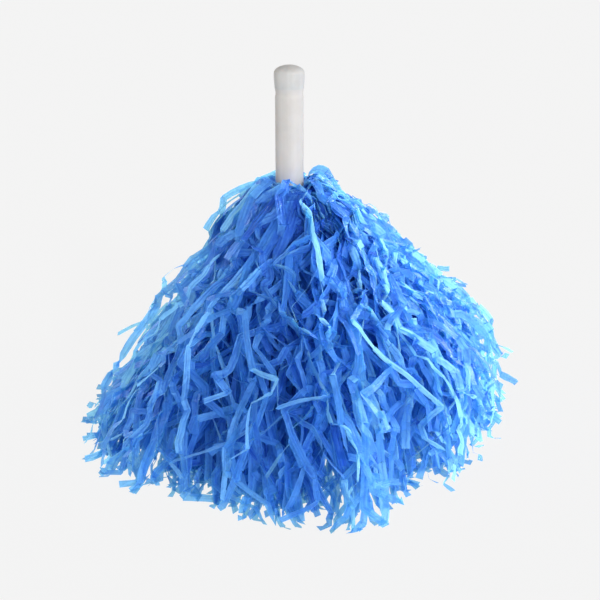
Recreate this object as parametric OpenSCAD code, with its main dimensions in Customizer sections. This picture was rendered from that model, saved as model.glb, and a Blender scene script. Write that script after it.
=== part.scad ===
// Stick-handle cheer pom. A capped grip tube holds four folded film headers on a wire loop, and the
// streamers slit from them come out of the tube's mouth, turn over its lip and stand spread on the
// floor. Millimetres, +Z up along the tube, z = 0 at the floor under the streamer ends.

/* [Stance] */
// Diameter across the streamer ends where they reach the floor
spread_d = 392; // [300:1:470]
// Height of the tube's lower mouth above the floor
mouth_h = 221; // [184:1:266]

/* [Grip tube] */
// Outside diameter of the grip tube
tube_d = 25; // [20:0.5:32]
// Wall of the grip tube
tube_wall = 1.6; // [1.2:0.1:2.2]
// Length of the grip tube from its mouth to its top rim
tube_l = 106; // [85:0.5:130]
// Depth of the groove rolled into the tube under the cap
groove_depth = 0.5; // [0.2:0.1:0.8]
// Length of that groove along the tube
groove_l = 8; // [4:0.5:10]

/* [End cap] */
// Wall of the cap's skirt where it is thickest
cap_wall = 0.9; // [0.7:0.05:1.6]
// Thickness of the skirt's lower lip
cap_lip_t = 0.35; // [0.3:0.05:0.6]
// Length over which the skirt thickens above its lip
cap_swell_l = 9; // [5:0.5:12]
// Length of tube that the cap covers
cap_cover_l = 13; // [12:0.5:24]
// Thickness of the cap's crown over the wire recess
crown_t = 3.9; // [3.4:0.1:5]
// Height of the dome that closes the cap
dome_h = 7; // [5:0.25:7.5]

/* [Wire and washer] */
// Diameter of the retaining wire
wire_d = 1.6; // [1.2:0.1:2]
// Half the distance between the wire's two legs
leg_y = 5; // [4:0.25:6]
// Length of each wire end bent flat over the washer
clinch_l = 3; // [2:0.25:3.5]
// Thickness of the washer that the wire is clinched over
washer_t = 1; // [0.6:0.1:1.6]

/* [Headers and binding] */
// Height of the wire's bottom run above the tube's mouth
fold_h = 16; // [14:0.5:24]
// Thickness of the binding tape wound round the folded headers
tape_t = 0.5; // [0.3:0.05:0.8]
// Width of the binding tape
tape_w = 12; // [8:0.5:13]

/* [Streamers] */
// Thickness of each layer of streamers where it is packed
layer_t = 4; // [3:0.25:5.5]
// Thickness of the turned-back streamers round the tube's lip
neck_t = 1.85; // [1.4:0.05:2.6]
// Height that the turned-back streamers climb outside the tube
neck_climb = 15; // [12:0.5:18]
// Radius of the bunched root that a lock of streamers swings on
root_r = 4; // [3.25:0.25:5]
// Height of the swing axis above the tube's mouth
root_h = 10; // [8:0.5:13]
// Diameter of the middle layer where it reaches the floor
middle_d = 280; // [230:1:330]
// Diameter of the inner bunch where it stands on the floor
inner_d = 172; // [140:1:206]

/* [Hidden] */
LOCKS = 8;
LAYERS = ["outer", "middle"];
HEADERS = 4;

// Clearances: a push fit, film beside film, the wire's bends, the wire in the washer, the cap over the
// wire, and a lock beside what stays still
fit_gap = 0.02;
film_gap = 0.05;
bend_gap = 0.1;
wire_gap = 0.2;
cap_gap = 0.25;
lock_gap = 0.6;

// Distance that a lock's wedge is set out from the axis, which parts it from the next lock, and its gap
// above the floor
lock_inset = 3;
floor_gap = 2;

// Chamfer of the tube's lip
lip_chamfer = 0.4;

// Height of the headers' lower edge above the tube's mouth, and of the mouth above the strands' neck
header_inset = 1;
neck_drop = 15;

// Fineness of round and curved shapes
round_fn = 96;
small_fn = 32;
curve_steps = 14;
arc_steps = 8;
dome_steps = 15;

// Grip tube
tube_r = tube_d / 2;
bore_r = tube_r - tube_wall;
tube_top = mouth_h + tube_l;
cap_bottom = tube_top - cap_cover_l;
groove_bottom = cap_bottom - groove_l - lip_chamfer;

// Washer, wire and cap, stacked on the tube's top rim
washer_top = tube_top + washer_t;
wire_r = wire_d / 2;
clinch_bend = wire_r + bend_gap;
fold_bend = leg_y / 2;
fold_z = mouth_h + fold_h;
clinch_z = washer_top + wire_r;
cap_r = tube_r + cap_wall;
recess_r = leg_y + clinch_bend + clinch_l + wire_r;
recess_top = clinch_z + wire_r + cap_gap;
cap_top = recess_top + crown_t;
lip_r = tube_r + fit_gap + cap_lip_t;

// Folded headers, nested round the wire and bound to fill the bore
pack_r = bore_r - tape_t - 2 * film_gap;
header_r0 = wire_r + 2 * film_gap;
header_pitch = (pack_r - header_r0) / HEADERS;
header_bottom = mouth_h + header_inset;

// Streamers
neck_r = tube_r + film_gap + neck_t;
neck_bottom = mouth_h - neck_drop;
root_x = neck_r + lock_gap + root_r;
root_z = mouth_h + root_h;
lock_angle = 360 / LOCKS;
floor_z = 0;

function bezier(p, t) =
    pow(1 - t, 3) * p[0] + 3 * pow(1 - t, 2) * t * p[1] + 3 * (1 - t) * t * t * p[2] + t * t * t * p[3];
function bezier_normal(p, t) =
    let (d = pow(1 - t, 2) * (p[1] - p[0]) + 2 * (1 - t) * t * (p[2] - p[1]) + t * t * (p[3] - p[2]))
    [-d[1], d[0]] / norm(d);
function curve(p) = [for (i = [0:curve_steps]) bezier(p, i / curve_steps)];
function inner_curve(p, t) =
    [for (i = [curve_steps:-1:0]) bezier(p, i / curve_steps) - t * bezier_normal(p, i / curve_steps)];
function arc(c, r, a0, a1) =
    [for (i = [0:arc_steps]) let (a = a0 + (a1 - a0) * i / arc_steps) c + r * [cos(a), sin(a)]];
function groove(r) =
    [for (i = [0:arc_steps]) [r - groove_depth * (1 - cos(360 * i / arc_steps)) / 2,
        groove_bottom + groove_l * i / arc_steps]];
function swell(i) =
    [lip_r + (cap_r - lip_r) * (1 - cos(180 * i / arc_steps)) / 2, cap_bottom + cap_swell_l * i / arc_steps];
function dome(i) =
    let (a = 90 * i / dome_steps)
    [cap_r * cos(a), cap_top - dome_h * (1 - sin(a))];
function reversed(list) = [for (i = [len(list) - 1:-1:0]) list[i]];

// How each layer falls: the reach of its shoulder as a share of its spread, and the heights of its
// shoulder and hip as shares of the height that it falls from
outer_fall = [0.42, 0.81, 0.4];
middle_fall = [0.42, 0.74, 0.38];
inner_fall = [0.35, 0.72, 0.38];

// A layer's side curve, from its start to the floor at radius reach
function side_curve(start, from_r, from_z, reach, fall) = [
    start,
    [from_r + fall[0] * (reach - from_r), fall[1] * from_z],
    [reach, fall[2] * from_z],
    [reach, floor_z]
];
outer_side = side_curve([root_x, root_z + root_r / 2], root_x, root_z, spread_d / 2, outer_fall);
middle_side = side_curve([root_x - root_r / 2, root_z - root_r], root_x, root_z, middle_d / 2, middle_fall);
inner_side = side_curve([neck_r, neck_bottom], neck_r, neck_bottom, inner_d / 2, inner_fall);

// Turns a drawing of height against distance from the axis so that it stands in the YZ plane
module in_yz() rotate([90, 0, 90]) children();

module grip_tube()
    color("whitesmoke")
    rotate_extrude($fn = round_fn)
    polygon(concat(
        [[bore_r + lip_chamfer, mouth_h], [tube_r - lip_chamfer, mouth_h], [tube_r, mouth_h + lip_chamfer]],
        groove(tube_r),
        [[tube_r, tube_top], [bore_r, tube_top]],
        reversed(groove(bore_r)),
        [[bore_r, mouth_h + lip_chamfer]]
    ));

module cap_section()
    polygon(concat(
        [[0, recess_top], [recess_r, recess_top], [recess_r, washer_top + film_gap]],
        [[tube_r + fit_gap, washer_top + film_gap], [tube_r + fit_gap, cap_bottom]],
        [for (i = [0:arc_steps]) swell(i)],
        [for (i = [0:dome_steps]) dome(i)]
    ));

module end_cap() color("white") rotate_extrude($fn = round_fn) cap_section();

module washer()
    color("silver")
    difference() {
        translate([0, 0, tube_top]) cylinder(h = washer_t, r = tube_r - film_gap, $fn = round_fn);
        for (side = [-1, 1])
            translate([0, side * leg_y, tube_top - washer_t])
                cylinder(h = 3 * washer_t, r = wire_r + wire_gap, $fn = small_fn);
    }

// A quarter turn of wire about the origin, from angle start to start + 90
module wire_bend(bend_r, r, start)
    rotate([0, 0, start])
    rotate_extrude(angle = 90, $fn = round_fn)
    translate([bend_r, 0]) circle(r, $fn = small_fn);

// The part of the wire under the headers' folds and up to the height top
module wire_hook(r, top) {
    flat_half = leg_y - fold_bend;
    leg_bottom = fold_z + fold_bend;
    rotate([90, 0, 0])
        translate([0, fold_z, 0]) cylinder(h = 2 * flat_half, r = r, center = true, $fn = small_fn);
    for (side = [0, 1]) mirror([0, side, 0]) {
        in_yz() translate([flat_half, leg_bottom]) wire_bend(fold_bend, r, -90);
        translate([0, leg_y, leg_bottom]) cylinder(h = top - leg_bottom, r = r, $fn = small_fn);
    }
}

module wire_loop()
    color("gray") {
        clinch_bottom = clinch_z - clinch_bend;
        wire_hook(wire_r, clinch_bottom);
        for (side = [0, 1]) mirror([0, side, 0]) {
            in_yz() translate([leg_y + clinch_bend, clinch_bottom]) wire_bend(clinch_bend, wire_r, 90);
            translate([0, leg_y + clinch_bend, clinch_z])
                rotate([-90, 0, 0]) cylinder(h = clinch_l, r = wire_r, $fn = small_fn);
        }
    }

// One film header folded over the wire, an arch that fills its share of the bore
module header(n) {
    inside = header_r0 + (n - 1) * header_pitch;
    outside = inside + header_pitch - film_gap;
    leg = fold_z - header_bottom;
    color("navy")
    difference() {
        intersection() {
            translate([0, 0, fold_z]) rotate([90, 0, 0])
                linear_extrude(height = 2 * pack_r, center = true)
                difference() {
                    union() {
                        circle(outside, $fn = round_fn);
                        translate([-outside, -leg]) square([2 * outside, leg]);
                    }
                    circle(inside, $fn = round_fn);
                    translate([-inside, -2 * leg]) square([2 * inside, 2 * leg]);
                }
            translate([0, 0, header_bottom]) cylinder(h = leg + 2 * pack_r, r = pack_r, $fn = round_fn);
        }
        wire_hook(wire_r + film_gap, fold_z + 2 * pack_r);
    }
}

module binding_tape()
    color("lightgray")
    translate([0, 0, header_bottom + film_gap])
    difference() {
        cylinder(h = tape_w, r = pack_r + film_gap + tape_t, $fn = round_fn);
        translate([0, 0, -tape_w]) cylinder(h = 3 * tape_w, r = pack_r + film_gap, $fn = round_fn);
    }

// Streamers that fill the mouth, turn over the tube's lip and climb its outside
module neck_streamers()
    color("royalblue")
    rotate_extrude($fn = round_fn)
    polygon(concat(
        [[0, neck_bottom], [neck_r, neck_bottom]],
        arc([neck_r - neck_t / 2, mouth_h + neck_climb - neck_t / 2], neck_t / 2, 0, 180),
        [[tube_r + film_gap, mouth_h - film_gap], [pack_r, mouth_h - film_gap], [pack_r, header_bottom]],
        [[0, header_bottom]]
    ));

module inner_streamers()
    color("mediumblue")
    rotate_extrude($fn = round_fn)
    polygon(concat(curve(inner_side), [[0, floor_z], [0, neck_bottom]]));

module turn_to_lock(n) rotate([0, 0, lock_angle * (n - 1)]) children();

// The upright wedge that one lock keeps to, drawn along +X
module lock_wedge() {
    reach = spread_d;
    half = (reach - lock_inset) * tan(lock_angle / 2);
    translate([0, 0, floor_z + floor_gap])
        linear_extrude(height = mouth_h + tube_l)
        polygon([[lock_inset, 0], [reach, -half], [reach, half]]);
}

module root_bar(r) {
    half = (root_x - root_r - lock_inset) * tan(lock_angle / 2);
    translate([root_x, 0, root_z])
        rotate([90, 0, 0]) cylinder(h = 2 * half, r = r, center = true, $fn = round_fn);
}

// A lock's share of one layer: a curved gore between two side curves a layer apart
module gore(side)
    intersection() {
        rotate([0, 0, -lock_angle / 2])
            rotate_extrude(angle = lock_angle, $fn = round_fn)
            intersection() {
                polygon(concat(curve(side), inner_curve(side, layer_t)));
                translate([root_x - root_r, floor_z]) square([spread_d, cap_top]);
            }
        lock_wedge();
    }

module outer_streamers(n)
    color("dodgerblue")
    turn_to_lock(n) {
        gore(outer_side);
        root_bar(root_r);
    }

module middle_streamers(n)
    color("royalblue")
    turn_to_lock(n)
    difference() {
        gore(middle_side);
        root_bar(root_r + film_gap);
    }

grip_tube();
end_cap();
washer();
wire_loop();
binding_tape();
neck_streamers();
inner_streamers();
for (n = [1:HEADERS])
    header(n);
for (n = [1:LOCKS]) {
    outer_streamers(n);
    middle_streamers(n);
}
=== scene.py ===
"""Looks of the stick-handle cheer pom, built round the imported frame.

The frame's rigid solids give the sizes. The film streamers are grown here strand by strand: a seeded walk
lays each strand's crumpled centre line along the side curve of its layer, and a Geometry Nodes tree turns
the centre lines into ribbons of film.
"""

import logging
import math
from dataclasses import dataclass, field
from enum import Enum
from typing import NamedTuple

import bpy
import numpy as np
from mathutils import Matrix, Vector


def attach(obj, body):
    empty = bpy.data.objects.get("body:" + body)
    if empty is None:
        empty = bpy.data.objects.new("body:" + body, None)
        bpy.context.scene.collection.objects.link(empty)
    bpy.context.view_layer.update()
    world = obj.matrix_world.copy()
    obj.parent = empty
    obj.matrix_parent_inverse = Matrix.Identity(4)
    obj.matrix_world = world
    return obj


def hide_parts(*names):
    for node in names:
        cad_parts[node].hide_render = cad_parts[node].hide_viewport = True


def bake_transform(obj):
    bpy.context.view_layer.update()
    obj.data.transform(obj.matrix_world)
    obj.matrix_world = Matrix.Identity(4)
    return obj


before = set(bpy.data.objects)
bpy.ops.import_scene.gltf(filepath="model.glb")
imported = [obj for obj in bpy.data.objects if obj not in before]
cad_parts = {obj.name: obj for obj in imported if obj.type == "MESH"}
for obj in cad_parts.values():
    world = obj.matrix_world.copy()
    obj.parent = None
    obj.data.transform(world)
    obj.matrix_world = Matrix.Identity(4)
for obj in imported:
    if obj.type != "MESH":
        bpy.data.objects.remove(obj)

log = logging.getLogger("cheer_pom")
MM = 0.001
LOCKS = 8
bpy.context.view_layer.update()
NOISE_RANGE = (0.3, 0.7)
WHITE = (1.0, 1.0, 1.0, 1.0)
TINY = 1e-6
Triple = tuple[float, float, float]
Colour = Triple
Range = tuple[float, float]
Socket = bpy.types.NodeSocket


class Layer(Enum):
    """How deep in the skirt a layer's strands run: 0 is the outside and 1 the middle."""

    COLLAR = (-0.13, -0.03)
    OUTER = (0.0, 0.22)
    MIDDLE = (0.22, 0.55)
    INNER = (0.55, 1.0)

    def depth(self, rng: np.random.Generator) -> float:
        """Picks a depth inside the layer."""
        return rng.uniform(*self.value)


def eased(start: float, share: float) -> float:
    """Grows from a starting share to the whole as the second share goes from 0 to 1."""
    return start + (1 - start) * share


# ---------------------------------------------------------------- node trees


class TreeBuilder:
    """Short calls for filling a node tree."""

    def __init__(self, tree: bpy.types.NodeTree) -> None:
        """Takes the tree in hand."""
        self.tree = tree

    def node(
        self, kind: str, inputs: dict | None = None, family: str = "ShaderNode", **settings: object
    ) -> bpy.types.Node:
        """Adds a node.

        Args:
            kind: the node's type name without its family's prefix.
            inputs: values or output sockets, by input name or index.
            family: the prefix of the node's type name.
            settings: attributes of the node itself.

        Returns:
            The new node.
        """
        made = self.tree.nodes.new(family + kind)
        for key, value in settings.items():
            setattr(made, key, value)
        for key, value in (inputs or {}).items():
            if isinstance(value, Socket):
                self.tree.links.new(value, made.inputs[key])
            else:
                made.inputs[key].default_value = value
        return made

    def math(self, operation: str, *terms: object) -> Socket:
        """Adds a sum on up to three numbers or sockets."""
        return self.node("Math", dict(enumerate(terms)), operation=operation).outputs[0]

    def vector_math(self, operation: str, *terms: object) -> Socket:
        """Adds a sum on up to three vectors or sockets."""
        return self.node("VectorMath", dict(enumerate(terms)), operation=operation).outputs[0]

    def ranged(self, value: Socket, source: Range, target: Range) -> Socket:
        """Maps one range of a value onto another and holds it at both ends."""
        return self.node("MapRange", {0: value, **dict(enumerate((*source, *target), 1))}).outputs[0]

    def noise(self, vector: Socket, scale: float, detail: float, **more: float) -> Socket:
        """Adds a noise texture and gives its strength."""
        inputs = {"Vector": vector, "Scale": scale, "Detail": detail, **more}
        return self.node("TexNoise", inputs).outputs["Fac"]

    def ramp(self, factor: Socket, stops: list[tuple[float, Colour]]) -> Socket:
        """Adds a colour ramp.

        Args:
            factor: the socket that the ramp reads.
            stops: (position, colour) pairs in rising order.

        Returns:
            The ramp's colour output.
        """
        made = self.node("ValToRGB", {"Fac": factor})
        elements = made.color_ramp.elements
        while len(elements) < len(stops):
            elements.new(0.5)
        for element, (place, colour) in zip(elements, stops):
            element.position = place
            element.color = (*colour, 1.0)
        return made.outputs["Color"]


class NodePainter(TreeBuilder):
    """Builds one material's node tree."""

    def __init__(self, name: str) -> None:
        """Starts an empty node material.

        Args:
            name: the material's name.
        """
        self.material = bpy.data.materials.new(name)
        self.material.use_nodes = True
        super().__init__(self.material.node_tree)
        self.tree.nodes.clear()
        self.output = self.node("OutputMaterial")

    def stretched(self, vector: Socket, scale: Triple) -> Socket:
        """Stretches coordinates along their axes."""
        return self.node("Mapping", {"Vector": vector, "Scale": scale}).outputs["Vector"]

    def bumped(
        self, height: Socket, distance: float, strength: float = 1.0, below: Socket | None = None
    ) -> Socket:
        """Raises the surface by a height.

        Args:
            height: the height, from 0 to 1.
            distance: how high 1 stands.
            strength: how much of it shows.
            below: the bumped normal that it is laid over, if any.

        Returns:
            The bumped normal.
        """
        made = self.node("Bump", {"Strength": strength, "Distance": distance, "Height": height})
        if below is not None:
            self.tree.links.new(below, made.inputs["Normal"])
        return made.outputs[0]

    def finish(self, shader: Socket) -> bpy.types.Material:
        """Links the shader to the output and hands the material back."""
        self.tree.links.new(shader, self.output.inputs["Surface"])
        return self.material


# ---------------------------------------------------------------- finishes


@dataclass(frozen=True)
class FilmFinish:
    """Thin glossy plastic film: part of the light passes, part glows through, part comes back.

    Clouds, painted light and shade on the ribs, a painted highlight along both edges, the strand's own tone
    (painted shade for the deeper strands) and painted shade near the mouth, where the film is packed, each
    add a share to a paleness, which picks the tint between deep and pale.
    """

    name: str
    back: Colour
    glow: Colour
    clear: Colour
    sheen: Colour
    clear_share: float = 0.22
    clear_swing: float = 0.4  # how far the clear share falls and rises with the clouds
    glow_share: float = 0.38
    roughness: float = 0.36
    ior: float = 1.45
    cloud_scale: float = 70.0
    cloud_share: float = 0.3
    rib_scale: float = 4.0
    rib_stretch: float = 0.04
    # painted light and shade on the ribs: the film is paler where they stand high
    rib_light_share: Range = (-0.03, 0.34)
    rib_height: float = 1.4 * MM
    crinkle_scale: float = 130.0
    crinkle_height: float = 2.0 * MM
    # painted highlight: the film is paler in a band along both edges of each strand
    edge_highlight_start: float = 0.36  # as a share of the width from its middle
    edge_highlight_share: float = 0.25
    # the strand's tone, which holds painted shade for the deeper strands
    tone_share: float = 0.45
    # painted shade: the film is deeper in tone near the mouth, where packed layers shade each other
    mouth_shade_share: float = -0.24
    mouth_shade_run: Range = (3.0, 18.0)  # in widths of the film from the mouth
    shade: float = 0.5  # how far the deep and the pale tint lie from the colour itself
    deep_shares: Triple = (1.0, 1.0, 0.45)
    pale_shares: Triple = (1.0, 1.0, 0.1)
    # painted shade: the darkest tint, a share of the deep one, darkens deep and packed film
    darkest: float = 0.4
    deep_at: float = 0.22
    pale_at: float = 0.82

    def build(self) -> bpy.types.Material:
        """Builds the film's material.

        Returns:
            A material that reads the ribbon's own map and its strand tone.
        """
        paint = NodePainter(self.name)
        place = paint.node("TexCoord").outputs["Object"]
        cloud = paint.noise(place, self.cloud_scale, 3.0, Roughness=0.6)
        film_map = paint.node("UVMap", uv_map="FilmMap").outputs["UV"]
        ribs = paint.noise(paint.stretched(film_map, (1.0, self.rib_stretch, 1.0)), self.rib_scale, 2.0)
        crinkle = paint.noise(place, self.crinkle_scale, 3.0, Roughness=0.55, Distortion=0.8)
        bump = paint.bumped(crinkle, self.crinkle_height, below=paint.bumped(ribs, self.rib_height))
        paleness = self._paleness(paint, film_map, cloud, ribs)
        skin = paint.node(
            "BsdfPrincipled",
            {
                "Base Color": self._tint(paint, paleness, self.back),
                "Roughness": self.roughness,
                "IOR": self.ior,
                "Specular Tint": (*self.sheen, 1.0),
                "Normal": bump,
            },
        ).outputs[0]
        glow = self._tint(paint, paleness, self.glow)
        lit = paint.node("BsdfTranslucent", {"Color": glow, "Normal": bump}).outputs[0]
        clear = paint.node("BsdfTransparent", {"Color": (*self.clear, 1.0)}).outputs[0]
        body = paint.node("MixShader", {0: self.glow_share, 1: skin, 2: lit}).outputs[0]
        most = (1 + self.clear_swing) * self.clear_share
        least = (1 - self.clear_swing) * self.clear_share
        haze = paint.ranged(cloud, NOISE_RANGE, (most, least))
        return paint.finish(paint.node("MixShader", {0: haze, 1: body, 2: clear}).outputs[0])

    def _paleness(self, paint: NodePainter, film_map: Socket, cloud: Socket, ribs: Socket) -> Socket:
        """Adds up the shares that make the film paler or deeper, painted light and shade among them.

        Args:
            paint: the material's painter.
            film_map: the ribbon's map, across the film and along it in widths.
            cloud: the clouds' strength.
            ribs: the height of the ribs.

        Returns:
            The paleness, 0 for the darkest film and 1 for the palest.
        """
        split = paint.node("SeparateXYZ", {0: film_map}).outputs
        off_middle = paint.math("ABSOLUTE", paint.math("SUBTRACT", split["X"], 0.5))
        # painted highlight along both edges of the strand
        edge_highlight = paint.ranged(off_middle, (self.edge_highlight_start, 0.5), (0.0, self.edge_highlight_share))
        total = paint.math("MULTIPLY_ADD", cloud, self.cloud_share, edge_highlight)
        # painted light and shade on the ribs, paler where the rib height is high
        total = paint.math("ADD", total, paint.ranged(ribs, NOISE_RANGE, self.rib_light_share))
        tone = paint.node("Attribute", attribute_name="tone").outputs["Fac"]
        total = paint.math("MULTIPLY_ADD", tone, self.tone_share, total)
        # painted shade near the mouth, where the packed film lies in its own shade
        return paint.math("ADD", total, paint.ranged(split["Y"], self.mouth_shade_run, (self.mouth_shade_share, 0.0)))

    def _tint(self, paint: NodePainter, paleness: Socket, colour: Colour) -> Socket:
        """Varies a colour from place to place, and its blue the least."""
        deep = [(1 - self.shade * share) * c for c, share in zip(colour, self.deep_shares)]
        pale = [min(1.0, (1 + self.shade * share) * c) for c, share in zip(colour, self.pale_shares)]
        # the darkest stop is painted shade for deep and packed film
        darkest = [self.darkest * c for c in deep]
        return paint.ramp(paleness, [(0.0, darkest), (self.deep_at, deep), (self.pale_at, pale)])


@dataclass(frozen=True)
class MouldedFinish:
    """Milky moulded plastic or dipped vinyl, with faint draw lines along it, a mottled tone and soft
    lengthwise streaks of painted reflection in its colour.
    """

    name: str
    pale: Colour
    deep: Colour
    roughness: float
    draw_scale: float
    bump: float
    roughness_swing: Range = (-0.08, 0.1)
    deep_at: float = 0.38
    pale_at: float = 0.62
    draw_stretch: float = 0.05
    draw_height: float = 0.3 * MM
    mottle_scale: float = 60.0
    mottle_height: float = 0.5 * MM
    # painted reflection: long, soft streaks of lighter and darker colour along the part
    reflection_streak_scale: float = 160.0
    reflection_streak_stretch: float = 0.02
    ior: float = 1.4
    depth_share: float = 0.35
    depth: Triple = (0.006, 0.004, 0.003)
    depth_scale: float = 0.5

    def build(self) -> bpy.types.Material:
        """Builds the material.

        Returns:
            A material on Object coordinates.
        """
        paint = NodePainter(self.name)
        place = paint.node("TexCoord").outputs["Object"]
        lines = paint.noise(paint.stretched(place, (1.0, 1.0, self.draw_stretch)), self.draw_scale, 3.0)
        mottle = paint.noise(place, self.mottle_scale, 5.0, Roughness=0.65)
        # painted reflection: lengthwise streaks in the colour stand in for reflected light
        reflection_streaks = paint.noise(paint.stretched(place, (1.0, 1.0, self.reflection_streak_stretch)), self.reflection_streak_scale, 2.0)
        shade = paint.math("MULTIPLY", paint.math("ADD", mottle, reflection_streaks), 0.5)
        drawn = paint.bumped(lines, self.draw_height, self.bump)
        rough = tuple(self.roughness + swing for swing in self.roughness_swing)
        skin = paint.node(
            "BsdfPrincipled",
            {
                "Base Color": paint.ramp(shade, [(self.deep_at, self.deep), (self.pale_at, self.pale)]),
                "Roughness": paint.ranged(lines, (0.0, 1.0), rough),
                "IOR": self.ior,
                "Subsurface Weight": self.depth_share,
                "Subsurface Radius": self.depth,
                "Subsurface Scale": self.depth_scale,
                "Normal": paint.bumped(mottle, self.mottle_height, self.bump, drawn),
            },
        )
        return paint.finish(skin.outputs[0])


@dataclass(frozen=True)
class SteelFinish:
    """Zinc-plated drawn steel."""

    name: str
    colour: Colour
    spangle_scale: float = 900.0
    roughness: Range = (0.22, 0.42)

    def build(self) -> bpy.types.Material:
        """Builds the material."""
        paint = NodePainter(self.name)
        place = paint.node("TexCoord").outputs["Object"]
        spangle = paint.node("TexVoronoi", {"Vector": place, "Scale": self.spangle_scale}).outputs["Distance"]
        rough = paint.ranged(spangle, (0.0, 1.0), self.roughness)
        look = {"Base Color": (*self.colour, 1.0), "Metallic": 1.0, "Roughness": rough}
        return paint.finish(paint.node("BsdfPrincipled", look).outputs[0])


BLUE_FILM = FilmFinish(
    "Blue film",
    back=(0.056, 0.185, 0.83),
    glow=(0.31, 0.98, 0.99),
    clear=(0.37, 0.84, 0.98),
    sheen=(0.22, 0.7, 1.0),
)
GRIP_PLASTIC = MouldedFinish("Grip plastic", (0.62, 0.605, 0.59), (0.55, 0.533, 0.515), 0.46, 420.0, 0.12)
CAP_VINYL = MouldedFinish("Cap vinyl", (0.60, 0.595, 0.588), (0.525, 0.52, 0.512), 0.42, 260.0, 0.2)
PLATED_STEEL = SteelFinish("Plated steel", (0.66, 0.66, 0.67))
CLEAR_TAPE = MouldedFinish("Binding tape", (0.78, 0.79, 0.80), (0.70, 0.71, 0.73), 0.25, 300.0, 0.1)


# ---------------------------------------------------------------- the skirt's shape


@dataclass(frozen=True)
class SkirtShape:
    """The side curves that the strands follow, in millimetres of (distance from the axis, height).

    The skirt is fuller on its +X side than on its -X side, and some tufts reach further out. A depth below 0
    lies outside the skirt's own layers, where the collar is.
    """

    root: tuple = ((9.0, 223.0), (12.5, 217.0), (15.5, 217.0))
    heights: tuple = (216.0, 199.0, 171.0, 142.0, 113.0, 84.0, 54.0, 24.0, 2.5)
    full_side: tuple = (50.0, 76.0, 102.0, 136.0, 172.0, 195.0, 200.0, 200.0, 200.0)
    lean_side: tuple = (37.0, 48.0, 57.0, 67.0, 85.0, 112.0, 144.0, 176.0, 191.0)
    core: tuple = (6.0, 9.0, 12.0, 16.0, 20.0, 24.0, 28.0, 32.0, 34.0)
    crest_reach: Range = (18.0, 28.0)
    crest_height: Range = (224.0, 238.0)
    collar_height: Range = (231.0, 244.0)
    crest_margin: float = 9.0  # the least that a crest lies inside the side curve's first point
    crest_skew: float = 1.5  # above 1, more strands turn over low than high
    lean_crest: float = 0.2  # the share of the crests' height that the lean side has
    inner_crest: tuple = (5.0, 215.0)
    inner_root_height: float = 216.0
    tufts: tuple = (  # (direction in degrees, how broad in degrees, how much further out)
        (-176.0, 9.0, -5.0),
        (-152.0, 12.0, 2.0),
        (-138.0, 9.0, 3.0),
        (-117.0, 12.0, -16.0),
        (-75.0, 9.0, 29.0),
        (-56.0, 9.0, -18.0),
        (-30.0, 14.0, -10.0),
        (-5.0, 8.0, 9.0),
    )
    lip_run: float = 10.0 * MM  # in metres: the film that lies still inside the mouth
    roundings: int = 3
    samples: int = 120
    floor_run: float = 22.0
    floor_steps: int = 10
    widest: float = 209.0

    def reach(self, azimuth: float) -> float:
        """Gives how much further out the ends fall in one direction, in metres."""
        degrees = math.degrees(azimuth)
        far = 0.0
        for centre, width, more in self.tufts:
            off = (degrees - centre + 180.0) % 360.0 - 180.0
            far += more * math.exp(-((off / width) ** 2))
        return far * MM

    def table(self, depth: float, azimuth: float, crest: Range) -> np.ndarray:
        """Samples one side curve, with its root before it and the floor after it.

        Args:
            depth: 0 at the outside of the skirt and 1 at its middle.
            azimuth: the strand's direction, in radians.
            crest: where between the limits of reach and height the strand turns over, each from 0 to 1.

        Returns:
            Rows of (arc length, distance from the axis, height), in metres.
        """
        full = 0.5 + 0.5 * math.cos(azimuth)
        heights = np.array(self.heights)
        outer = full * np.array(self.full_side) + (1 - full) * np.array(self.lean_side)
        radii = (1 - depth) * outer + depth * np.array(self.core)
        crest_r, crest_z = self._crest(depth, full, outer[0], crest)
        root = np.array(self.root)
        straight = [[crest_r / 2, root[0, 1]], [crest_r, root[1, 1]], [crest_r, self.inner_root_height]]
        root = root + depth * (np.array(straight) - root)
        run_out = np.linspace(0.0, self.floor_run, self.floor_steps)[1:, None]
        run_out_r = np.minimum(radii[-1] + run_out, self.widest)
        floor = np.hstack([run_out_r, np.full_like(run_out, heights[-1])])
        knots = np.vstack([root[1:], [[crest_r, crest_z]], np.column_stack([radii, heights])])
        line = np.vstack([root[:1], self._rounded(knots), floor]) * MM
        s = np.r_[0, np.cumsum(np.linalg.norm(np.diff(line, axis=0), axis=1))]
        always_rising = 1e-9 * np.arange(len(s))
        return np.column_stack([s + always_rising, line])

    def _crest(self, depth: float, full: float, first: float, crest: Range) -> Range:
        """Finds where a strand turns over.

        Args:
            depth: 0 at the outside of the skirt and 1 at its middle.
            full: 0 on the lean side and 1 on the full side.
            first: distance of the side curve's first point from the axis.
            crest: where between the limits of reach and height it lies, each from 0 to 1.

        Returns:
            (distance from the axis, height).
        """
        radius = min(float(np.interp(crest[0], (0, 1), self.crest_reach)), first - self.crest_margin)
        limits = self.collar_height if depth < 0 else self.crest_height
        share = crest[1] ** self.crest_skew * eased(self.lean_crest, full)
        height = float(np.interp(share, (0, 1), limits))
        inner_radius, inner_height = self.inner_crest
        return radius * (1 - depth) + inner_radius * depth, height * (1 - depth) + inner_height * depth

    def _rounded(self, knots: np.ndarray) -> np.ndarray:
        """Rounds off a chain of points by corner cutting and samples it evenly."""
        for _ in range(self.roundings):
            near = 0.75 * knots[:-1] + 0.25 * knots[1:]
            far = 0.25 * knots[:-1] + 0.75 * knots[1:]
            knots = np.vstack([knots[:1], np.stack([near, far], axis=1).reshape(-1, 2), knots[-1:]])
        s = np.r_[0, np.cumsum(np.linalg.norm(np.diff(knots, axis=0), axis=1))]
        even = np.linspace(0, s[-1], self.samples)
        return np.column_stack([np.interp(even, s, knots[:, 0]), np.interp(even, s, knots[:, 1])])


# ---------------------------------------------------------------- the strands


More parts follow.
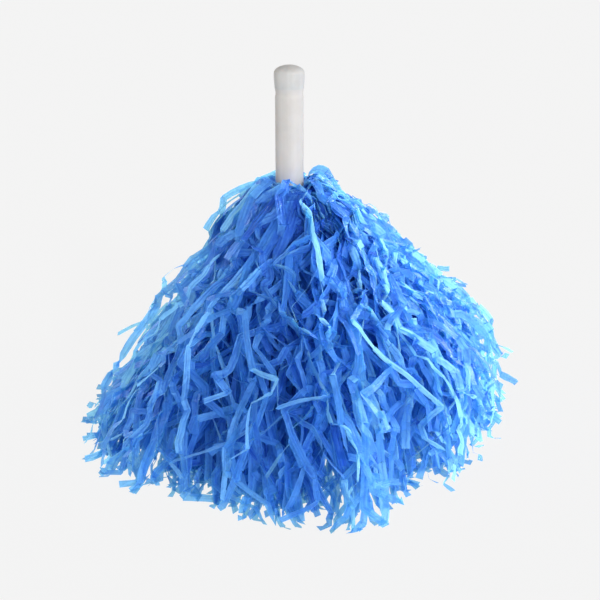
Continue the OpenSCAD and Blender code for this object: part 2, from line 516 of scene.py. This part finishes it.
@dataclass(frozen=True)
class StrandCut:
    """The size that the film is slit to and how hard it is crumpled.

    Turns, rolls and leans are in radians, and bow and twist in radians per metre. A pair named by side holds
    the value on the lean side and what the full side adds to it.
    """

    width: float = 6.4 * MM
    neck_swell: float = 0.12  # how much broader the film is at the mouth
    neck_run: float = 80.0 * MM  # how far that swelling reaches
    length: float = 420.0 * MM
    length_spread: float = 0.05
    short_share: float = 0.2  # of the strands on the lean side; twice as many are short on the full side
    short_cut: Range = (0.45, 0.95)
    full_side_cut: float = 0.2  # the most of its length that a strand loses on the full side
    reach_film: float = 1.5  # film spent on each unit that a tuft reaches further out
    bunch: int = 7
    bunch_run: float = 75.0 * MM  # how far the strands of a bunch stay together
    bunch_slip: float = 2.4 * MM
    loose_run: float = 110.0 * MM  # how far from the root a strand comes quite loose
    step: float = 9.0 * MM
    arch_step: float = 4.0 * MM  # a shorter step, for the arch over the lip
    arch_run: float = 34.0 * MM
    look_ahead: float = 4.0 * MM
    flat_run: float = 28.0 * MM  # the usual film between two creases
    flat_run_by_side: Range = (1.1, -0.55)
    shortest_run: float = 5.0 * MM
    shortest_end: float = 4.0 * MM
    neck_ease: float = 0.75  # the share of its usual runs and turns that the film has at the root
    crease: float = 0.8 * MM  # how far the points at a crease lie from it
    turn: float = 0.44
    first_turn: float = 0.3
    drift: float = 0.12
    turn_memory: float = 0.4
    sharp_turns: float = 0.12
    sharp_turn: Range = (0.6, 1.6)
    most_turn: Range = (0.75, 0.55)  # at the root, and what a loose strand adds
    unrest: float = 0.35
    most_unrest: float = 1.9
    unrest_by_side: Range = (0.8, 0.4)
    bow: float = 3.5
    lean: float = 0.36
    neck_lean: float = 0.35  # the share of its lean that the film has at the root
    most_lean: float = 0.6
    most_pitch: float = 0.9
    spring_back: float = 11.0 * MM  # how far a strand stands off before it is drawn back
    stray_share: float = 0.09
    stray_back: float = 24.0 * MM
    splay: float = 1.25  # how far the last of the film turns outwards
    splayed_end: float = 42.0 * MM
    lean_side_splay: float = 0.5
    free_end: float = 0.6  # the share of the drawing back that a tip is free of
    floor_tail: float = 16.0 * MM
    widest: float = 215.5 * MM
    widest_pitch: float = -0.3
    narrowest: float = 16.0 * MM  # the least distance from the axis that sideways steps are reckoned at
    roll: float = 0.6
    neck_roll: float = 0.5  # the share of its roll that the film has at the root
    roll_memory: float = 0.7
    twist: float = 13.0


class Spot(NamedTuple):
    """A place on a side curve and its local directions."""

    point: np.ndarray
    flow: np.ndarray
    side: np.ndarray
    normal: np.ndarray
    radius: float


@dataclass
class Gait:
    """How a strand goes on from its last crease, as its random source chose it."""

    rng: np.random.Generator
    restless: float
    bias: float
    lay: float
    heading: float = 0.0
    roll: float = 0.0
    lean: float = 0.0
    bow: float = 0.0
    twist: float = 0.0
    left: float = 0.0


class Strand:
    """One strand's centre line, walked out along its side curve in gently bowed runs between creases."""

    def __init__(
        self,
        shape: SkirtShape,
        cut: StrandCut,
        azimuth: float,
        depth: float,
        rng: np.random.Generator,
        bunch: int,
    ) -> None:
        """Walks the strand.

        Args:
            shape: the skirt's side curves.
            cut: the film's size and crumple.
            azimuth: direction in which the strand leaves the mouth, in radians.
            depth: 0 at the outside of the skirt and 1 at its middle.
            rng: the seeded source of the strand's own random choices.
            bunch: seeds the choices that the strands of one bunch share until they part.
        """
        self.shape = shape
        self.depth = depth
        self.cut = cut
        self.own = rng
        self.shared = np.random.default_rng(bunch)
        self.curve = shape.table(depth, azimuth, (self.shared.random(), self.shared.random()))
        self.floor_start = self.curve[-shape.floor_steps, 0]
        self.fullness = 0.0
        self.points: list[np.ndarray] = []
        self.facing: list[np.ndarray] = []
        self.along: list[float] = []
        self.loose: list[float] = []
        azimuth += cut.bunch_slip * rng.standard_normal() / cut.narrowest
        for s in (0.0, shape.lip_run / 2):
            spot = self._at(s, azimuth)
            self._lay(spot.point, spot.normal, s, 0.0)
        self._walk(azimuth, shape.lip_run)

    def _at(self, s: float, azimuth: float) -> Spot:
        """Finds a place on the side curve.

        Args:
            s: arc length along the curve.
            azimuth: direction round the handle.

        Returns:
            The place, the way down the curve, sideways and outwards, and the distance from the axis.
        """
        arc, radii, heights = self.curve.T
        ahead = s + self.cut.look_ahead
        r, z = float(np.interp(s, arc, radii)), float(np.interp(s, arc, heights))
        r2, z2 = float(np.interp(ahead, arc, radii)), float(np.interp(ahead, arc, heights))
        n = math.hypot(r2 - r, z2 - z) or 1.0
        dr, dz = ((r2 - r) / n, (z2 - z) / n) if ahead < arc[-1] else (1.0, 0.0)
        outward = (1.0 - max(0.0, self.depth)) * min(1.0, s / self.floor_start) ** 2
        r += self.shape.reach(azimuth) * outward
        out = np.array([math.cos(azimuth), math.sin(azimuth), 0.0])
        side = np.array([-math.sin(azimuth), math.cos(azimuth), 0.0])
        up = np.array([0.0, 0.0, 1.0])
        return Spot(out * r + up * z, out * dr + up * dz, side, up * dr - out * dz, r)

    def _lay(self, point: np.ndarray, facing: np.ndarray, gone: float, loose: float) -> None:
        """Adds one point of the centre line."""
        self.points.append(point)
        self.facing.append(facing)
        self.along.append(gone)
        self.loose.append(loose)

    def _by_side(self, pair: Range) -> float:
        """Picks a value between the lean side's and the full side's."""
        return pair[0] + pair[1] * self.fullness

    def _run(self, rng: np.random.Generator, loose: float) -> float:
        """Picks the length of film up to the next crease."""
        cut = self.cut
        usual = cut.flat_run * eased(cut.neck_ease, loose) * self._by_side(cut.flat_run_by_side)
        return cut.shortest_run + rng.exponential(usual - cut.shortest_run)

    def _length(self, azimuth: float) -> float:
        """Picks the strand's length, from the middle of the mouth to its tip."""
        rng, cut = self.own, self.cut
        length = cut.length * (1 + cut.length_spread * rng.standard_normal())
        if rng.random() < cut.short_share * (1.0 + self.fullness**2):
            length *= rng.uniform(*cut.short_cut)
        length *= 1.0 - cut.full_side_cut * self.fullness**2 * rng.random()
        return length + cut.reach_film * self.shape.reach(azimuth)

    def _temper(self, rng: np.random.Generator) -> tuple[float, float, float]:
        """Picks how restless a strand is, which way it drifts and how far it lies rolled over."""
        cut = self.cut
        restless = min(cut.most_unrest, math.exp(cut.unrest * rng.standard_normal()))
        restless *= self._by_side(cut.unrest_by_side)
        return restless, cut.drift * rng.standard_normal(), cut.roll * rng.standard_normal()

    def _recrease(self, gait: Gait, gone: float, loose: float) -> None:
        """Chooses how the strand goes on after a crease.

        Args:
            gait: how it went until now, which is changed.
            gone: film used since the root.
            loose: 0 at the root and 1 where the strand is quite loose.
        """
        cut = self.cut
        if gait.rng is self.shared and gone > cut.bunch_run:
            gait.rng = self.own
            gait.restless, gait.bias, gait.lay = self._temper(gait.rng)
        rng = gait.rng
        spread = cut.turn * gait.restless * eased(cut.neck_ease, loose)
        kept = gait.bias + cut.turn_memory * (gait.heading - gait.bias)
        gait.heading = kept + spread * rng.standard_normal()
        if rng.random() < cut.sharp_turns * loose:
            gait.heading += rng.choice([-1, 1]) * rng.uniform(*cut.sharp_turn)
        tilt = cut.roll * eased(cut.neck_roll, loose)
        kept = gait.lay + cut.roll_memory * (gait.roll - gait.lay)
        gait.roll = kept + cut.roll_memory * tilt * gait.restless * rng.standard_normal()
        gait.lean = cut.lean * gait.restless * rng.standard_normal()
        gait.lean = max(-cut.most_lean, min(cut.most_lean, gait.lean))
        gait.bow = cut.bow * rng.standard_normal()
        gait.twist = cut.twist * rng.standard_normal()
        gait.left = self._run(rng, loose)

    def _aim(self, spot: Spot, gait: Gait, pitch: float) -> tuple[np.ndarray, np.ndarray]:
        """Works out which way the film runs and which way it faces.

        Args:
            spot: the place on the side curve.
            gait: the heading and the roll.
            pitch: how steeply the film leaves the side curve.

        Returns:
            (direction, facing).
        """
        direction = spot.flow * math.cos(gait.heading) + spot.side * math.sin(gait.heading)
        direction = direction * math.cos(pitch) + spot.normal * math.sin(pitch)
        across = np.cross(spot.normal, direction)
        across = across / np.linalg.norm(across)
        return direction, spot.normal * math.cos(gait.roll) + across * math.sin(gait.roll)

    def _walk(self, azimuth: float, start: float) -> None:
        """Lays runs of film until its length is used up or it has run out on the floor.

        Args:
            azimuth: the strand's direction at the mouth.
            start: the arc length at which it leaves the root.
        """
        cut = self.cut
        self.fullness = 0.5 + 0.5 * math.cos(azimuth)
        total = self._length(azimuth)
        last = self.floor_start + cut.floor_tail * self.own.random()
        splay = cut.splay * self.own.uniform(0.0, eased(cut.lean_side_splay, self.fullness))
        spring_back = cut.stray_back if self.own.random() < cut.stray_share else cut.spring_back
        gait = Gait(self.shared, *self._temper(self.shared))
        gait.heading = gait.bias + cut.first_turn * self.shared.standard_normal()
        gait.roll = gait.lay
        gait.left = self._run(self.shared, 0.0)
        lift = cut.bunch_slip * self.own.random()
        s = gone = start
        creased = True
        while True:
            loose = min(1.0, (gone - start) / cut.loose_run)
            limit = cut.most_turn[0] + cut.most_turn[1] * loose
            gait.heading = max(-limit, min(limit, gait.heading))
            spot = self._at(s, azimuth)
            ending = max(0.0, 1.0 - (total - gone) / cut.splayed_end)
            pitch = gait.lean * eased(cut.neck_lean, loose) + splay * ending
            pitch -= (1 - cut.free_end * ending) * lift / spring_back
            pitch = max(-cut.most_pitch, min(cut.most_pitch, pitch))
            if spot.radius + lift > cut.widest - 0.5 * cut.step:
                pitch = min(pitch, cut.widest_pitch)
            direction, facing = self._aim(spot, gait, pitch)
            step = min(cut.arch_step if gone - start < cut.arch_run else cut.step, gait.left, total - gone)
            here = spot.point + spot.normal * lift
            self._lay(here + direction * (cut.crease if creased else 0.0), facing, gone, loose)
            onward = step * math.cos(pitch)
            s = max(start, s + onward * math.cos(gait.heading))
            azimuth += onward * math.sin(gait.heading) / max(spot.radius, cut.narrowest)
            lift += step * math.sin(pitch)
            gone += step
            gait.left -= step
            gait.heading += gait.bow * step
            gait.roll += gait.twist * step
            creased = gait.left < TINY
            if creased or gone > total - TINY:
                self._lay(here + direction * (step - cut.crease), facing, gone, loose)
            if gone > total - cut.shortest_end or s > last:
                return
            if creased:
                self._recrease(gait, gone - start, loose)


@dataclass
class StrandBundle:
    """The centre lines of every strand in one piece of film, as a mesh of edges."""

    name: str
    points: list = field(default_factory=list)
    facing: list = field(default_factory=list)
    along: list = field(default_factory=list)
    loose: list = field(default_factory=list)
    tone: list = field(default_factory=list)
    width: list = field(default_factory=list)
    edges: list = field(default_factory=list)
    cuts: list = field(default_factory=list)

    def add(self, strand: Strand, tone: float, width: float) -> None:
        """Adds one strand.

        Args:
            strand: the walked strand.
            tone: how pale its film is, from 0 to 1; for deeper strands it holds painted shade.
            width: its width as a share of the cut's.
        """
        first, count = len(self.points), len(strand.points)
        cut = strand.cut
        self.points += strand.points
        self.facing += strand.facing
        self.along += strand.along
        self.loose += strand.loose
        self.tone += [tone] * count
        self.width += [width * (1 + cut.neck_swell * max(0.0, 1 - s / cut.neck_run)) for s in strand.along]
        self.edges += [(first + i, first + i + 1) for i in range(count - 1)]
        self.cuts.append((width * cut.width, strand.along[-1]))

    def flat(self) -> tuple[float, float]:
        """Gives the flat sheet that the strands are slit from, as (total width, mean length)."""
        width = sum(w for w, _ in self.cuts)
        return width, sum(w * length for w, length in self.cuts) / width

    def guides(self) -> bpy.types.Object:
        """Makes the object that the ribbon tree reads.

        Returns:
            A mesh of edges, with what the tree needs as point attributes.
        """
        mesh = bpy.data.meshes.new(self.name)
        mesh.from_pydata([tuple(p) for p in self.points], self.edges, [])
        for name, kind, key, values in (
            ("facing", "FLOAT_VECTOR", "vector", self.facing),
            ("along", "FLOAT", "value", self.along),
            ("loose", "FLOAT", "value", self.loose),
            ("tone", "FLOAT", "value", self.tone),
            ("broad", "FLOAT", "value", self.width),
        ):
            attribute = mesh.attributes.new(name, kind, "POINT")
            attribute.data.foreach_set(key, np.array(values, dtype=np.float32).ravel())
        made = bpy.data.objects.new(self.name, mesh)
        bpy.context.scene.collection.objects.link(made)
        return made


# ---------------------------------------------------------------- the ribbon tree


class RibbonTree(TreeBuilder):
    """The Geometry Nodes tree that turns strand centre lines into crumpled ribbons of film."""

    SIZES = (
        ("Film width", 6.4 * MM),
        ("Billow", 5.0 * MM),
        ("Billow scale", 24.0),
        ("Crumple", 2.6 * MM),
        ("Crumple scale", 90.0),
        ("Widest", 216.5 * MM),
    )
    LOWEST = 0.5 * MM

    def __init__(self, material: bpy.types.Material) -> None:
        """Builds the tree.

        Args:
            material: the film that every ribbon is given.
        """
        super().__init__(bpy.data.node_groups.new("Film ribbons", "GeometryNodeTree"))
        face = self.tree.interface
        face.new_socket("Geometry", in_out="OUTPUT", socket_type="NodeSocketGeometry")
        face.new_socket("Geometry", in_out="INPUT", socket_type="NodeSocketGeometry")
        for name, value in self.SIZES:
            face.new_socket(name, in_out="INPUT", socket_type="NodeSocketFloat").default_value = value
        face.new_socket("Seed", in_out="INPUT", socket_type="NodeSocketInt").default_value = 1
        face.new_socket("Film", in_out="INPUT", socket_type="NodeSocketMaterial").default_value = material
        self._build()

    def geo(self, kind: str, inputs: dict | None = None, **settings: object) -> bpy.types.Node:
        """Adds a node of the geometry family."""
        return self.node(kind, inputs, "GeometryNode", **settings)

    def _stored(self, name: str, kind: str = "FLOAT") -> Socket:
        """Reads a named attribute of the guides."""
        return self.geo("InputNamedAttribute", {"Name": name}, data_type=kind).outputs["Attribute"]

    def _build(self) -> None:
        """Lays out the tree: centre lines, profile, sweep, map, crumple, floor, material."""
        given = self.tree.nodes.new("NodeGroupInput").outputs
        billow = self.math("MULTIPLY", given["Billow"], self._stored("loose"))
        guides = self._stir(given["Geometry"], given["Seed"], given["Billow scale"], billow)
        lines = self.geo("MeshToCurve", {"Mesh": guides}).outputs[0]
        facing = self._stored("facing", "FLOAT_VECTOR")
        lines = self.geo("SetCurveNormal", {"Curve": lines, "Normal": facing}, mode="FREE").outputs[0]
        profile, across = self._profile(given["Film width"])
        swept = self.geo(
            "CurveToMesh",
            {"Curve": lines, "Profile Curve": profile, "Scale": self._stored("broad"), "Fill Caps": False},
        ).outputs[0]
        along = self.math("DIVIDE", self._stored("along"), given["Film width"])
        place = self.node("CombineXYZ", {0: across, 1: along}).outputs[0]
        mapped = self.geo(
            "StoreNamedAttribute",
            {"Geometry": swept, "Name": "FilmMap", "Value": place},
            data_type="FLOAT2",
            domain="CORNER",
        ).outputs[0]
        crumpled = self._stir(mapped, given["Seed"], given["Crumple scale"], given["Crumple"])
        crumpled = self._keep_in(crumpled, given["Widest"])
        flat = self.geo("SetShadeSmooth", {"Geometry": crumpled, "Shade Smooth": False}).outputs[0]
        real = self.geo("RealizeInstances", {"Geometry": flat}).outputs[0]
        done = self.geo("SetMaterial", {"Geometry": real, "Material": given["Film"]}).outputs[0]
        self.tree.links.new(done, self.tree.nodes.new("NodeGroupOutput").inputs["Geometry"])

    def _profile(self, width: Socket) -> tuple[Socket, Socket]:
        """Makes the ribbon's section, a straight line as long as the film is wide.

        Args:
            width: the film's width.

        Returns:
            (the profile curve, the share of the width at each of its points).
        """
        half = self.math("MULTIPLY", width, 0.5)
        start = self.node("CombineXYZ", {1: self.math("MULTIPLY", half, -1.0)}).outputs[0]
        end = self.node("CombineXYZ", {1: half}).outputs[0]
        line = self.geo("CurvePrimitiveLine", {"Start": start, "End": end}).outputs[0]
        kept = self.geo("CaptureAttribute", {"Geometry": line}, domain="POINT")
        kept.capture_items.new("FLOAT", "Across")
        self.tree.links.new(self.geo("SplineParameter").outputs["Factor"], kept.inputs["Across"])
        return kept.outputs["Geometry"], kept.outputs["Across"]

    def _stir(self, geometry: Socket, seed: Socket, scale: Socket, amount: Socket) -> Socket:
        """Moves points by seeded noise, so that neighbours move together.

        Args:
            geometry: what is moved.
            seed: picks the pattern.
            scale: how fine the pattern is.
            amount: how far the points move.

        Returns:
            The moved geometry.
        """
        place = self.geo("InputPosition").outputs[0]
        seeded = self.vector_math("ADD", place, self.node("CombineXYZ", {0: seed}).outputs[0])
        noise = self.node("TexNoise", {"Vector": seeded, "Scale": scale, "Detail": 1.0}).outputs["Color"]
        way = self.vector_math("SUBTRACT", noise, (0.5, 0.5, 0.5))
        offset = self.node("VectorMath", {0: way, "Scale": amount}, operation="SCALE").outputs[0]
        return self.geo("SetPosition", {"Geometry": geometry, "Offset": offset}).outputs[0]

    def _keep_in(self, ribbons: Socket, widest: Socket) -> Socket:
        """Keeps the ribbons' points above the floor and inside the skirt's widest ring."""
        place = self.geo("InputPosition").outputs[0]
        split = self.node("SeparateXYZ", {0: place}).outputs
        level = self.vector_math("MULTIPLY", place, (1.0, 1.0, 0.0))
        radius = self.node("VectorMath", {0: level}, operation="LENGTH").outputs["Value"]
        share = self.math("DIVIDE", widest, self.math("MAXIMUM", radius, 1.0 * MM))
        share = self.math("MINIMUM", share, 1.0)
        x = self.math("MULTIPLY", split["X"], share)
        y = self.math("MULTIPLY", split["Y"], share)
        z = self.math("MAXIMUM", split["Z"], self.LOWEST)
        held = self.node("CombineXYZ", {0: x, 1: y, 2: z}).outputs[0]
        return self.geo("SetPosition", {"Geometry": ribbons, "Position": held}).outputs[0]

    def grow(self, bundle: StrandBundle, seed: int, width: float) -> bpy.types.Object:
        """Runs the tree on a bundle and keeps the result as a plain mesh.

        Args:
            bundle: the centre lines.
            seed: picks the crumple pattern.
            width: the film's width.

        Returns:
            The finished object, at the origin.
        """
        guides = bundle.guides()
        modifier = guides.modifiers.new("Film ribbons", "NODES")
        modifier.node_group = self.tree
        items = self.tree.interface.items_tree
        sockets = {item.name: item.identifier for item in items if item.in_out == "INPUT"}
        modifier[sockets["Seed"]] = seed
        modifier[sockets["Film width"]] = width
        depsgraph = bpy.context.evaluated_depsgraph_get()
        mesh = bpy.data.meshes.new_from_object(guides.evaluated_get(depsgraph), depsgraph=depsgraph)
        bpy.data.objects.remove(guides)
        mesh.name = bundle.name
        made = bpy.data.objects.new(bundle.name, mesh)
        bpy.context.scene.collection.objects.link(made)
        return made


# ---------------------------------------------------------------- the streamers


@dataclass
class Streamers:
    """What every piece of film shares: the tree that makes ribbons, the skirt's shape and the random choices.

    A strand's paleness is a tone that varies at random and falls with its depth in the skirt, as painted
    shade for the strands that lie deeper inside.
    """

    PIECE_SEEDS = 1000
    MIDDLE_SEEDS = 500

    ribbons: RibbonTree
    shape: SkirtShape = SkirtShape()
    seed: int = 700
    tone: float = 0.85
    depth_shade_fall: float = 2.6
    tone_spread: float = 0.3
    width_share: Range = (0.8, 1.1)

    def grow(
        self, name: str, number: int, plan: list[tuple[Layer, int]], middle: float, arc: float, cut: StrandCut
    ) -> bpy.types.Object:
        """Args:
            name: the piece's name.
            number: picks the piece's own random numbers.
            plan: (layer, number of strands) for each layer.
            middle: direction of the piece's middle, in radians.
            arc: how far round the handle its roots reach, in radians.
            cut: the film's size and crumple.

        Returns:
            The finished mesh.
        """
        rng = np.random.default_rng(self.seed + number)
        bundle = StrandBundle(name)
        for layer, count in plan:
            first_seed = self.PIECE_SEEDS * number + (self.MIDDLE_SEEDS if layer is Layer.MIDDLE else 0)
            bunches = math.ceil(count / cut.bunch)
            places = []
            for i in range(bunches):
                turn = (i + rng.random()) / bunches - 0.5
                places.append((middle + turn * arc, layer.depth(rng)))
            for i in range(count):
                azimuth, depth = places[i % bunches]
                strand = Strand(self.shape, cut, azimuth, depth, rng, first_seed + i % bunches)
                # painted shade: deeper strands get a darker tone, on top of a random spread
                tone = self.tone - self.depth_shade_fall * max(0.0, depth) + self.tone_spread * rng.standard_normal()
                bundle.add(strand, min(1.0, max(0.0, tone)), rng.uniform(*self.width_share))
        piece = self.ribbons.grow(bundle, number, cut.width)
        return piece


@dataclass
class StreamerLock:
    """One swinging lock: an eighth of the outer and middle layers.

    blend_start and blend_end are each given as (distance from the axis, height); nothing here reads them.
    """

    number: int
    kit: Streamers
    outer_count: int = 132
    middle_count: int = 84
    cut: StrandCut = StrandCut()
    blend_start: Range = (13.0 * MM, 234.0 * MM)
    blend_end: Range = (30.0 * MM, 190.0 * MM)

    @property
    def body(self) -> str:
        """The frame body that the lock rides on."""
        return f"lock_{self.number}"

    def build(self) -> bpy.types.Object:
        """Grows the lock's film and bakes it in place.

        Returns:
            The lock's mesh.
        """
        arc = 2 * math.pi / LOCKS
        middle = arc * (self.number - 1)
        plan = [(Layer.OUTER, self.outer_count), (Layer.MIDDLE, self.middle_count)]
        piece = self.kit.grow(f"{self.body}_film", self.number, plan, middle, arc, self.cut)
        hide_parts(f"outer_streamers_{self.number}", f"middle_streamers_{self.number}")
        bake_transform(piece)
        return piece


@dataclass
class HandleFilm:
    """A piece of film that grows all round the handle and stays with it."""

    kit: Streamers
    name: str
    number: int
    layer: Layer
    count: int
    stands_for: str
    cut: StrandCut = StrandCut()

    def build(self) -> bpy.types.Object:
        """Grows the film and ties it to the handle.

        Returns:
            Its mesh.
        """
        plan = [(self.layer, self.count)]
        piece = self.kit.grow(self.name, self.number, plan, 0.0, 2 * math.pi, self.cut)
        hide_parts(self.stands_for)
        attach(piece, "handle")
        return piece


@dataclass
class InnerBunch(HandleFilm):
    """The strands in the middle, which the pom stands on."""

    name: str = "inner_film"
    number: int = 50
    layer: Layer = Layer.INNER
    count: int = 240
    stands_for: str = "inner_streamers"


@dataclass
class Collar(HandleFilm):
    """The short, broad strands that are turned back over the tube's lip and cover the locks' roots."""

    name: str = "collar_film"
    number: int = 60
    layer: Layer = Layer.COLLAR
    count: int = 46
    stands_for: str = "neck_streamers"
    cut: StrandCut = StrandCut(
        width=7.6 * MM,
        length=140.0 * MM,
        length_spread=0.2,
        short_share=0.0,
        turn=0.45,
        first_turn=0.9,
        sharp_turns=0.0,
        splay=-1.1,
        bunch=1,
        stray_share=0.0,
    )


# ---------------------------------------------------------------- the handle


@dataclass
class Handle:
    """The grip tube, cap and hidden fastening, which are the frame's own solids."""

    dressed: dict = field(
        default_factory=lambda: {
            "grip_tube": GRIP_PLASTIC,
            "end_cap": CAP_VINYL,
            "washer": PLATED_STEEL,
            "wire_loop": PLATED_STEEL,
            "binding_tape": CLEAR_TAPE,
        }
    )

    def build(self, film: bpy.types.Material) -> None:
        """Gives each solid its material.

        Args:
            film: the streamers' own film, which the headers are folded from.
        """
        built = {finish.name: finish.build() for finish in self.dressed.values()}
        for name, finish in self.dressed.items():
            self._dress(name, built[finish.name])
        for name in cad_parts:
            if name.startswith("header_"):
                self._dress(name, film)

    @staticmethod
    def _dress(name: str, material: bpy.types.Material) -> None:
        """Puts a material on every slot of a frame solid."""
        for place in bpy.data.objects[name].material_slots:
            place.material = material
        log.info("%s: %s", name, material.name)


# ---------------------------------------------------------------- the studio


@dataclass(frozen=True)
class SunLamp:
    """A sun lamp, with its angles in degrees.

    It looks as wide as its angle, stands at its tilt from the vertical, and is turned round to the right from
    the front.
    """

    name: str
    energy: float
    angle: float
    tilt: float
    turn: float

    def hang(self) -> bpy.types.Object:
        """Adds the lamp to the scene.

        Returns:
            The lamp.
        """
        data = bpy.data.lights.new(self.name, "SUN")
        data.energy = self.energy
        data.angle = math.radians(self.angle)
        lamp = bpy.data.objects.new(self.name, data)
        bpy.context.scene.collection.objects.link(lamp)
        lamp.rotation_euler = (math.radians(self.tilt), 0.0, math.radians(self.turn))
        return lamp


@dataclass
class Studio:
    """A plain pale floor, soft light and the camera.

    The surround fades from level_light at the horizon to overhead_light above, and grows to right_light times
    as much on the right.
    """

    elevation: float = math.radians(20.0)
    distance: float = 1.0
    aim: tuple[float, float, float] = (0.0093, 0.0, 0.118)
    lens: float = 64.5
    sensor: float = 36.0
    farthest: float = 100.0
    floor_size: float = 40.0
    floor_matt: float = 0.04
    floor_glow: float = 0.875
    level_light: float = 0.95
    overhead_light: float = 0.2
    overhead_from: float = 0.9
    right_light: float = 1.5
    right_from: float = -0.5
    left_tint: Colour = (1.0, 0.93, 0.84)
    right_tint: Colour = (0.97, 0.985, 1.0)
    key: SunLamp = SunLamp("Key", 1.88, 8.0, 68.0, 28.0)
    film_lamps: tuple = (
        SunLamp("Right rim", 7.4, 30.0, 71.0, 127.0),
        SunLamp("Right fill", 3.0, 60.0, 74.0, 88.0),
        SunLamp("Left rim", 3.0, 30.0, 68.0, -130.0),
    )
    bounces: int = 20
    diffuse_bounces: int = 12

    def build(self) -> None:
        """Makes the floor, lights and camera."""
        self._camera()
        self._floor()
        self._surround()
        self.key.hang()
        scene = bpy.context.scene
        scene.view_settings.view_transform = "Standard"
        scene.cycles.max_bounces = self.bounces
        scene.cycles.diffuse_bounces = self.diffuse_bounces

    def _camera(self) -> None:
        """Places the camera on a line that looks down at the aim."""
        data = bpy.data.cameras.new("Camera")
        data.lens = self.lens
        data.sensor_width = self.sensor
        data.clip_end = self.farthest
        camera = bpy.data.objects.new("Camera", data)
        bpy.context.scene.collection.objects.link(camera)
        back = Vector((0.0, -math.cos(self.elevation), math.sin(self.elevation)))
        camera.location = Vector(self.aim) + self.distance * back
        camera.rotation_euler = (math.pi / 2 - self.elevation, 0.0, 0.0)
        bpy.context.scene.camera = camera

    def _floor(self) -> None:
        """Makes the pale floor, which glows like a light table."""
        mesh = bpy.data.meshes.new("floor")
        h = self.floor_size / 2
        mesh.from_pydata([(-h, -h, 0), (h, -h, 0), (h, h, 0), (-h, h, 0)], [], [(0, 1, 2, 3)])
        floor = bpy.data.objects.new("floor", mesh)
        bpy.context.scene.collection.objects.link(floor)
        paint = NodePainter("Light table")
        matt = paint.node("BsdfDiffuse", {"Color": (*(self.floor_matt,) * 3, 1.0)}).outputs[0]
        light = paint.node("Emission", {"Color": WHITE, "Strength": self.floor_glow}).outputs[0]
        mesh.materials.append(paint.finish(paint.node("AddShader", {0: matt, 1: light}).outputs[0]))

    def _surround(self) -> None:
        """Makes the even surround, a little stronger and cooler on the right."""
        world = bpy.data.worlds.new("Surround")
        world.use_nodes = True
        paint = TreeBuilder(world.node_tree)
        coordinates = paint.node("TexCoord").outputs["Generated"]
        way = paint.node("SeparateXYZ", {0: coordinates}).outputs
        fade = paint.ranged(way["Z"], (0.0, self.overhead_from), (self.level_light, self.overhead_light))
        side = paint.ranged(way["X"], (self.right_from, 1.0), (1.0, self.right_light))
        half = paint.ranged(way["X"], (-1.0, 1.0), (0.0, 1.0))
        tint = paint.ramp(half, [(0.0, self.left_tint), (1.0, self.right_tint)])
        light = world.node_tree.nodes["Background"].inputs
        paint.tree.links.new(paint.math("MULTIPLY", fade, side), light["Strength"])
        paint.tree.links.new(tint, light["Color"])
        bpy.context.scene.world = world

    def back_light(self, film: list[bpy.types.Object]) -> None:
        """Adds the soft lamps that shine through the film from behind, and on nothing else.

        Args:
            film: the pieces of film.
        """
        lit = bpy.data.collections.new("Film lit from behind")
        for piece in film:
            lit.objects.link(piece)
        for lamp in self.film_lamps:
            lamp.hang().light_linking.receiver_collection = lit


def main() -> None:
    """Builds the pom's looks round the frame, in order."""
    logging.basicConfig(level=logging.INFO, format="%(name)s: %(message)s")
    studio = Studio()
    studio.build()
    film = BLUE_FILM.build()
    Handle().build(film)
    kit = Streamers(RibbonTree(film))
    film_pieces = [StreamerLock(number, kit).build() for number in range(1, LOCKS + 1)]
    film_pieces += [InnerBunch(kit).build(), Collar(kit).build()]
    studio.back_light(film_pieces)


if __name__ == "__main__":
    main()
